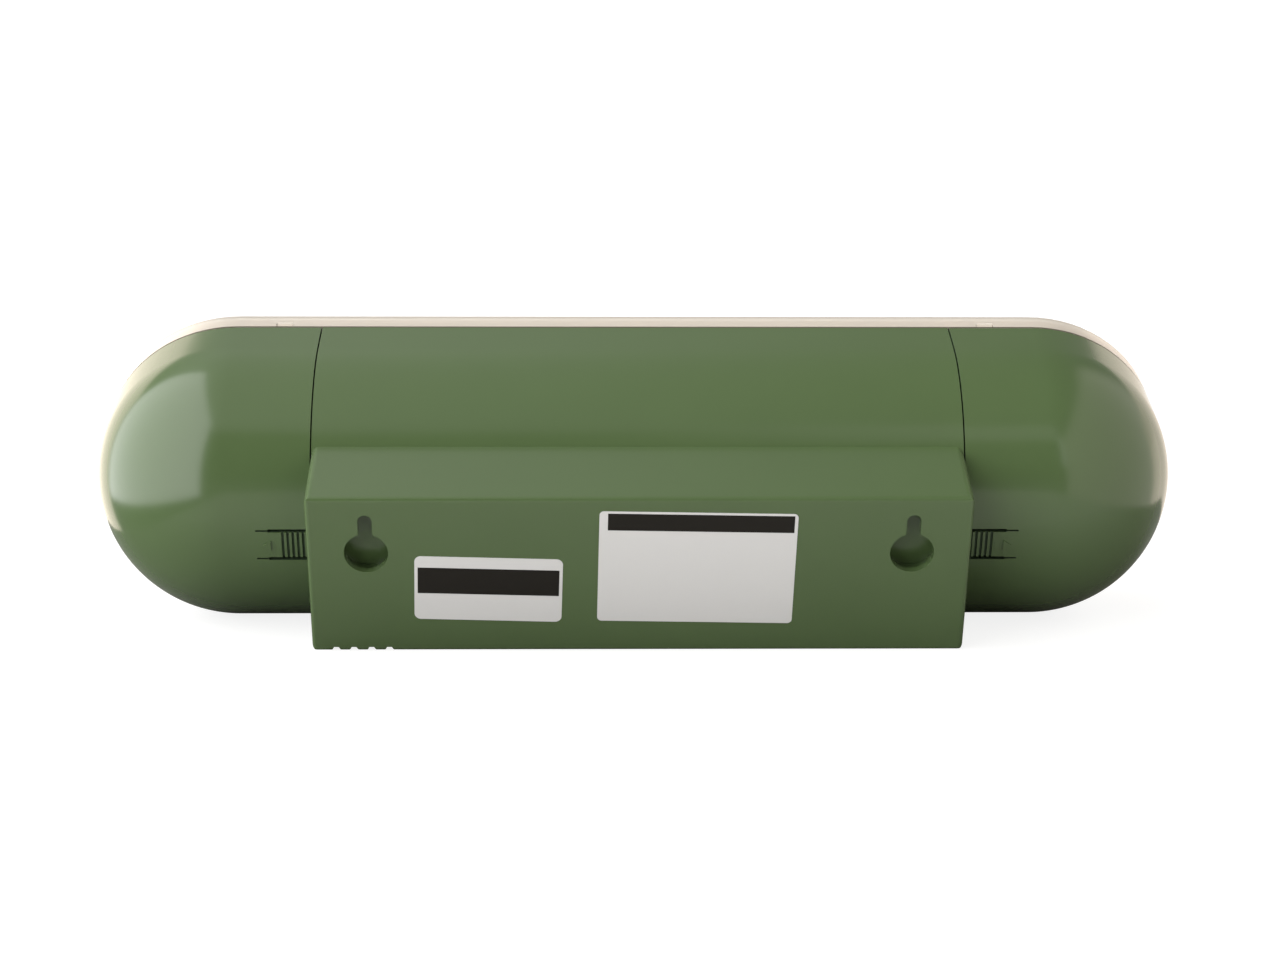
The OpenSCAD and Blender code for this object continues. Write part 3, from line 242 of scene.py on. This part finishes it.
SHARP_ANGLE = math.radians(28)


def smooth_copy(node, name, *skins, choose=None):
    upright = STAND.inverted()
    source = frame["nodes"][node]
    mesh = source.data.copy()
    mesh.materials.clear()
    for skin in skins:
        mesh.materials.append(skin)
    bm = bmesh.new()
    bm.from_mesh(mesh)
    bmesh.ops.remove_doubles(bm, verts=bm.verts, dist=2e-6)
    for face in bm.faces:
        face.smooth = True
        face.material_index = choose(upright @ face.calc_center_median()) if choose else 0
    for edge in bm.edges:
        edge.smooth = edge.is_manifold and edge.calc_face_angle(0) < SHARP_ANGLE
    bm.to_mesh(mesh)
    bm.free()
    piece = bpy.data.objects.new(name, mesh)
    bpy.context.scene.collection.objects.link(piece)
    normals = piece.modifiers.new("flat faces stay flat", "WEIGHTED_NORMAL")
    normals.keep_sharp = True
    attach(piece, source["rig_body"])
    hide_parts(node)
    return piece


green_abs = moulded_plastic("green_polished_abs", "#4C5F3A", roughness=0.17, depth=0.004)
rough_abs_painted_shade = moulded_plastic("green_unpolished_painted_shade_abs", "#30432A", roughness=0.7)
BALL_X, INNER_RADIUS = 129.0, 45.4
BOX_FROM_Y, BOX_HALF_LENGTH, BOX_HALF_HEIGHT = 30, 101.6, 32


# Picks the inner faces, which take the rough green with painted shade.
def behind_the_skin(point):
    in_box = point.y > BOX_FROM_Y and abs(point.x) < BOX_HALF_LENGTH and abs(point.z) < BOX_HALF_HEIGHT
    ball = Vector((max(0, abs(point.x) - BALL_X), max(0, point.y), point.z)).length
    return not in_box and ball < INNER_RADIUS


for node in ("rear_case", "end_cover_left", "end_cover_right"):
    moulding = smooth_copy(node, node + "_moulding", green_abs, rough_abs_painted_shade, choose=behind_the_skin)

# Clear lens
# One thin cup of clear acrylic (PMMA) over the whole front, held at its rear edge by four small
# clips. The plate is polished; the skirt round it is left with a fine haze from the mould, which
# gathers the light and hides the frame behind it a little.
RIM_RADIUS = 44.3


def cast_acrylic(name, colour, roughness, clearness):
    return add_coat(start_material(name), {
        "Base Color": linear(colour), "Roughness": roughness, "IOR": 1.49, "Transmission Weight": clearness})


def from_axis(point):
    return Vector((max(0, abs(point.x) - BALL_X), point.z)).length


def skirt_skin(point):
    return int(from_axis(point) > RIM_RADIUS)


acrylic = cast_acrylic("clear_acrylic", "#FBFBF8", 0.03, 1.0)
haze = cast_acrylic("hazy_acrylic_skirt", "#E1D8CB", 0.22, 0.35)
lens = smooth_copy("front_lens", "front_lens_cup", acrylic, haze, choose=skirt_skin)

# Face frame
# Cream moulded polystyrene behind the lens, with the dial opening, three windows with their
# shrouds and the screw bosses. Satin, and it gives the clock its pale rim. Its outer edge, in the
# seam to the green shells, is painted dark brown as painted shade, and the clip tabs and the faces
# next to them are painted a greyer cream as painted shade against the bright light.
SEAM_RADIUS = 45.8
cream_styrene = moulded_plastic("cream_satin_styrene", "#F6EDE0", roughness=0.42, drift=0.015)
# Painted shade: the dark brown stands in for the shadow in the seam between the rim and the green shells.
seam_painted_shade = moulded_plastic("seam_painted_shade_styrene", "#4A4434", roughness=0.8, drift=0.1)
# Painted shade: a greyer cream that tones down the bright light on the clip tabs.
clip_tabs_painted_shade = moulded_plastic("clip_tabs_painted_shade_styrene", "#C9BFB1", roughness=0.5)


# Which faces get painted shade: 2 at the seam, 1 on the clip tabs and the faces round them, 0 plain cream.
def frame_skin(point):
    out = from_axis(point)
    return 2 if out > SEAM_RADIUS else 1 if out > RIM_RADIUS else 0


rim_skins = (cream_styrene, clip_tabs_painted_shade, seam_painted_shade)
rim = smooth_copy("face_frame", "face_frame_moulding", *rim_skins, choose=frame_skin)

# Dial
# Printed aluminium disc: off-white enamel with a black minute track of 60 bars, the hours' bars
# wider and longer, and plain numbers inside it.
DIAL_X, DIAL_Y, INK_LIFT, INK_DEPTH = -BALL_X, -12.9, 0.03, 0.05
TRACK_RADIUS, NUMBER_RADIUS, NUMBER_HEIGHT = 35.2, 27, 8.5
enamel = moulded_plastic("white_dial_enamel", "#F1EDE2", roughness=0.5, drift=0.01)
smooth_copy("dial", "dial_plate", enamel)
ink = add_coat(start_material("black_printing_ink"), {
    "Base Color": linear("#1C1B1A"), "Roughness": 0.55})


def finished(bm, name, material, body, place=Matrix.Identity(4)):
    mesh = bpy.data.meshes.new(name)
    bmesh.ops.transform(bm, matrix=STAND @ place, verts=bm.verts)
    bm.to_mesh(mesh)
    bm.free()
    mesh.materials.append(material)
    piece = bpy.data.objects.new(name, mesh)
    bpy.context.scene.collection.objects.link(piece)
    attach(piece, body)
    return piece


def lettering(words, height, weight=0.0):
    curve = bpy.data.curves.new("lettering", "FONT")
    curve.body = words
    curve.size = height
    curve.offset = weight
    curve.space_character = 1 + weight / 4
    curve.extrude = INK_DEPTH / 2
    curve.align_x, curve.align_y = "CENTER", "CENTER"
    text = bpy.data.objects.new("lettering", curve)
    bpy.context.scene.collection.objects.link(text)
    bpy.context.view_layer.update()
    mesh = text.to_mesh()
    bm = bmesh.new()
    bm.from_mesh(mesh)
    text.to_mesh_clear()
    bpy.data.objects.remove(text)
    bmesh.ops.remove_doubles(bm, verts=bm.verts, dist=1e-4)
    bmesh.ops.triangulate(bm, faces=bm.faces)
    bmesh.ops.rotate(bm, verts=bm.verts, cent=(0, 0, 0), matrix=Matrix.Rotation(math.radians(90), 3, "X"))
    return bm


def merge_into(target, bm, move):
    bmesh.ops.transform(bm, matrix=move, verts=bm.verts)
    mesh = bpy.data.meshes.new("part")
    bm.to_mesh(mesh)
    bm.free()
    target.from_mesh(mesh)
    bpy.data.meshes.remove(mesh)


print_bm = bmesh.new()
to_dial = Matrix.Translation((DIAL_X, DIAL_Y - INK_LIFT, 0))
for minute in range(60):
    width, length = (0.9, 3.0) if minute % 5 == 0 else (0.35, 1.6)
    bar = bmesh.new()
    bmesh.ops.create_cube(bar, size=1)
    bmesh.ops.scale(bar, vec=(width, 0.06, length), verts=bar.verts)
    bmesh.ops.translate(bar, vec=(0, 0, TRACK_RADIUS - length / 2), verts=bar.verts)
    merge_into(print_bm, bar, to_dial @ Matrix.Rotation(math.radians(minute * 6), 4, "Y"))
for hour in range(1, 13):
    angle = math.radians(hour * 30)
    spot = Vector((math.sin(angle), 0, math.cos(angle))) * NUMBER_RADIUS
    merge_into(print_bm, lettering(str(hour), NUMBER_HEIGHT), to_dial @ Matrix.Translation(spot))
finished(print_bm, "dial_printing", ink, "case")

# Hands
# Stamped aluminium, sprayed satin black; the thin sweep second hand is red. Thin white lines
# show where the hour and minute hands are filled to be read in the dark.
FILL_THICK, FILL_LIFT = 0.06, 0.05


def sprayed(name, colour):
    material = start_material(name)
    place = add_node(material, "TexCoord")
    mist = add_node(material, "TexNoise", links={"Vector": place.outputs["Object"]}, inputs={
        "Scale": 2500.0})
    skin = add_node(material, "Bump", links={"Height": mist.outputs["Fac"]}, inputs={
        "Strength": 0.15, "Distance": 0.00002})
    return add_coat(
        material, {"Base Color": linear(colour), "Roughness": 0.38, "IOR": 1.5},
        links={"Normal": skin.outputs["Normal"]})


black_paint = sprayed("black_sprayed_aluminium", "#151515")
red_paint = sprayed("red_sprayed_aluminium", "#B5281C")
white_fill = sprayed("white_lacquer_filling", "#EDEAE0")
for node, paint, slot in (
    ("hour_hand", black_paint, "black_metal"),
    ("minute_hand", black_paint, "black_metal"),
    ("second_hand", red_paint, "red_metal"),
):
    smooth_copy(node, node + "_stamping", paint)


def plate(width, height, corner, thick):
    bm = bmesh.new()
    bmesh.ops.create_grid(bm, x_segments=1, y_segments=1, size=0.5)
    bmesh.ops.scale(bm, vec=(width, height, 1), verts=bm.verts)
    if corner:
        bmesh.ops.bevel(
            bm, geom=bm.verts[:], offset=corner, offset_type="OFFSET", segments=8, profile=0.5,
            affect="VERTICES", material=-1)
    grown = bmesh.ops.extrude_face_region(bm, geom=bm.faces[:])
    risen = [v for v in grown["geom"] if isinstance(v, bmesh.types.BMVert)]
    bmesh.ops.translate(bm, vec=(0, 0, thick), verts=risen)
    bmesh.ops.recalc_face_normals(bm, faces=bm.faces)
    to_back = Matrix(((-1, 0, 0), (0, 0, 1), (0, 1, 0)))
    bmesh.ops.rotate(bm, verts=bm.verts, cent=(0, 0, 0), matrix=to_back)
    return bm


for name, front_y, turn, start, end, width in (
    ("hour", -15.8, 304.8, 6.5, 18.5, 1.5),
    ("minute", -17.1, 57.6, 8.5, 28.0, 1.1),
):
    fill = plate(width, end - start, width * 0.45, FILL_THICK)
    along = Matrix.Rotation(math.radians(turn), 4, "Y") @ Matrix.Translation((0, 0, (start + end) / 2))
    place = Matrix.Translation((DIAL_X, front_y - FILL_LIFT, 0)) @ along
    finished(fill, f"{name}_hand_filling", white_fill, f"{name}_hand_body", place)

# Flip leaves and drums
# Thin black styrene leaves with white characters; half of each character is on the upper leaf
# and half on the one that hangs below it. The drums that carry them are black acetal.
def repaint(material, *nodes):
    for node in nodes:
        materials = frame["nodes"][node].data.materials
        materials.clear()
        materials.append(material)


leaf_styrene = moulded_plastic("black_leaf_styrene", "#1B1B1C", roughness=0.45, grain=0.2, drift=0.02)
drum_acetal = moulded_plastic("black_drum_acetal", "#242425", roughness=0.5, grain=0.3)
for drum in ("month", "date", "weekday"):
    repaint(leaf_styrene, drum + "_leaves", drum + "_falling_leaf")
    repaint(drum_acetal, drum + "_spool")
white_ink = add_coat(start_material("white_printing_ink"), {
    "Base Color": linear("#F2F0EA"), "Roughness": 0.5})
SPOOL_Y, PIN_RADIUS, HALF_LEAF, LEAF_INK = 16.0, 11.4, 0.2, 0.04
HINGE_GAP, LETTER_WEIGHT = 1.3, 0.35
LOWER_TILT = math.radians(-0.5)
BEHIND_TILT = 0.75


def pivot(number, count):
    angle = math.radians(180 - (number + 0.5) * 360 / count)
    return Vector((0, SPOOL_Y + PIN_RADIUS * math.cos(angle), PIN_RADIUS * math.sin(angle)))


def about(point, angle):
    return Matrix.Translation(point) @ Matrix.Rotation(angle, 4, "X") @ Matrix.Translation(-point)


def half_word(words, tall, wide, half):
    bm = lettering(words, tall, LETTER_WEIGHT)
    xs, zs = [v.co.x for v in bm.verts], [v.co.z for v in bm.verts]
    centre = Vector(((min(xs) + max(xs)) / 2, 0, (min(zs) + max(zs)) / 2))
    bmesh.ops.translate(bm, vec=-centre, verts=bm.verts)
    stretch_z = tall / (max(zs) - min(zs))
    stretch_x = min(stretch_z, wide / (max(xs) - min(xs)))
    bmesh.ops.scale(bm, vec=(stretch_x, 1, stretch_z), verts=bm.verts)
    everything = bm.verts[:] + bm.edges[:] + bm.faces[:]
    bmesh.ops.bisect_plane(
        bm, geom=everything, plane_co=(0, 0, half * HINGE_GAP), plane_no=(0, 0, -half), clear_outer=True)
    return bm


# The falling leaf shows the upper half now and carries the next lower half on its back. The leaf
# behind it, which leans back by three quarters of the drum's pitch, has the next upper half.
for name, count, middle, wide, tall, now, later in (
    ("month", 24, -58.3, 39, 21, "OCT", "NOV"),
    ("date", 31, -1.6, 36, 27, "24", "25"),
    ("weekday", 28, 59.1, 45, 21, "WED", "THU"),
):
    top, low, behind = pivot(0, count), pivot(count - 1, count), pivot(1, count)
    lean_back = Matrix.Rotation(math.radians(-BEHIND_TILT * 360 / count), 4, "X")
    front = Matrix.Translation((middle, top.y - HALF_LEAF - LEAF_INK, 0))
    for part, words, half, body, place in (
        ("upper", now, 1, name + "_leaf", front),
        ("lower", now, -1, name + "_drum", about(low, LOWER_TILT) @ front),
        ("next_upper", later, 1, name + "_drum",
            Matrix.Translation(behind) @ lean_back @ Matrix.Translation(-top) @ front),
        ("next_lower", later, -1, name + "_leaf", about(top, math.pi) @ front),
    ):
        printed = finished(half_word(words, tall, wide, half), f"{name}_{part}_half", white_ink, body, place)

# Works
# Steel chassis, screws and motor, brass nut and pinion, natural nylon gears, black movement,
# printed circuit board and the two dry cells. All plain stock finishes.
STEEL_COLOUR = "#B9BCBF"
NUB, CRIMP, BAND_FROM = 0.0015, 0.0008, 0.68


def bare_metal(name, colour, roughness):
    material = start_material(name)
    place = add_node(material, "TexCoord")
    streaks = add_node(material, "TexNoise", links={"Vector": place.outputs["Object"]}, inputs={
        "Scale": 400.0, "Detail": 4.0})
    gloss = add_node(material, "MapRange", links={"Value": streaks.outputs["Fac"]}, inputs={
        "To Min": roughness - 0.08, "To Max": roughness + 0.08})
    return add_coat(material, {"Base Color": linear(colour), "Metallic": 1.0}, links={
        "Roughness": gloss.outputs["Result"]})


# A dry cell's printed sleeve, along the cell in metres: the main colour, a band at the nub's end
# that starts at BAND_FROM of the length, and bare steel at both crimped edges.
def printed_sleeve(name, node, colour, band_colour):
    material = start_material(name)
    (low, *_), (high, *_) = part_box(node)
    start, end = low + CRIMP, high - NUB - CRIMP
    place = add_node(material, "TexCoord").outputs["Object"]
    along = add_node(material, "SeparateXYZ", links={"Vector": place}).outputs["X"]
    band_start = start + BAND_FROM * (end - start)
    band, over, under = (
        add_node(material, "Math", operation=way, links={0: along}, inputs={1: edge}).outputs[0]
        for way, edge in (("GREATER_THAN", band_start), ("GREATER_THAN", end), ("LESS_THAN", start)))
    bare = add_node(material, "Math", operation="MAXIMUM", links={0: over, 1: under}).outputs[0]
    printed = add_node(material, "Mix", data_type="RGBA", links={"Factor": band}, inputs={
        "A": linear(colour), "B": linear(band_colour)})
    skin = add_node(
        material, "Mix", data_type="RGBA", links={"Factor": bare, "A": printed.outputs[2]},
        inputs={"B": linear(STEEL_COLOUR)})
    return add_coat(material, {"Roughness": 0.26}, links={"Base Color": skin.outputs[2], "Metallic": bare})


zinc_steel = bare_metal("zinc_plated_steel", STEEL_COLOUR, 0.32)
turned_brass = bare_metal("turned_brass", "#C8A35A", 0.28)
nylon = moulded_plastic("natural_nylon", "#E9E3D4", roughness=0.5, drift=0.02)
black_case = moulded_plastic("black_movement_abs", "#1D1E1F", roughness=0.45)
grey_knob = moulded_plastic("grey_knob_abs", "#55575A", roughness=0.45)
board_resin = moulded_plastic("green_board_resist", "#1E5C35", roughness=0.3, drift=0.08)
blue_sleeve = printed_sleeve("blue_cell_sleeve", "clock_cell", "#2C5C96", "#16181B")
red_sleeve = printed_sleeve("red_cell_sleeve", "calendar_cell", "#8C2F28", "#C9B37A")
repaint(
    zinc_steel, "chassis", "chassis_screws", "frame_screws", "dial_screws", "board_screws", "clock_contacts",
    "calendar_axle", "lever_pins", "motor", "motor_bracket", "cell_spring", "cell_plate")
repaint(turned_brass, "movement_nut", "motor_pinion")
repaint(nylon, "weekday_gear", "thumbwheel", "reduction_gear", "month_lever", "date_lever", "switch_slider")
repaint(black_case, "movement_case", "cell_tray", "switch_body")
repaint(grey_knob, "set_knob")
repaint(board_resin, "circuit_board")
repaint(blue_sleeve, "clock_cell")
repaint(red_sleeve, "calendar_cell")

# Stickers
# Two pale self-adhesive labels on the back of the box, bare but for plain dark bands. Semi-gloss
# paper with die-cut round corners, set on by hand a little askew.
BOX_BACK_Y, PAPER_THICK, BAND_THICK = 64.4, 0.12, 0.02
label_paper = moulded_plastic("white_label_paper", "#D2D1D0", roughness=0.3, grain=0.25, drift=0.01)
band_ink = moulded_plastic("black_band_ink", "#1A1712", roughness=0.6, drift=0.02, ior=1.3)


def sticker(name, middle, size, corner, turn, band_middle, band_size):
    (x, z), (band_x, band_z) = middle, band_middle
    place = Matrix.Translation((x, BOX_BACK_Y, z)) @ Matrix.Rotation(math.radians(turn), 4, "Y")
    finished(plate(*size, corner, PAPER_THICK), name, label_paper, "case", place)
    on_paper = place @ Matrix.Translation((band_x, PAPER_THICK, band_z))
    band = plate(*band_size, 0, BAND_THICK)
    finished(band, name + "_band_1", band_ink, "case", on_paper)


sticker(
    "small_sticker", middle=(46.35, -4.7), size=(45.4, 22.6), corner=2.0, turn=-1.6,
    band_middle=(0, 2.7), band_size=(43.4, 9.2))
sticker(
    "large_sticker", middle=(-17.6, 2.9), size=(60.4, 39.2), corner=1.4, turn=-1.0,
    band_middle=(-0.8, 15.9), band_size=(56.8, 5.9))
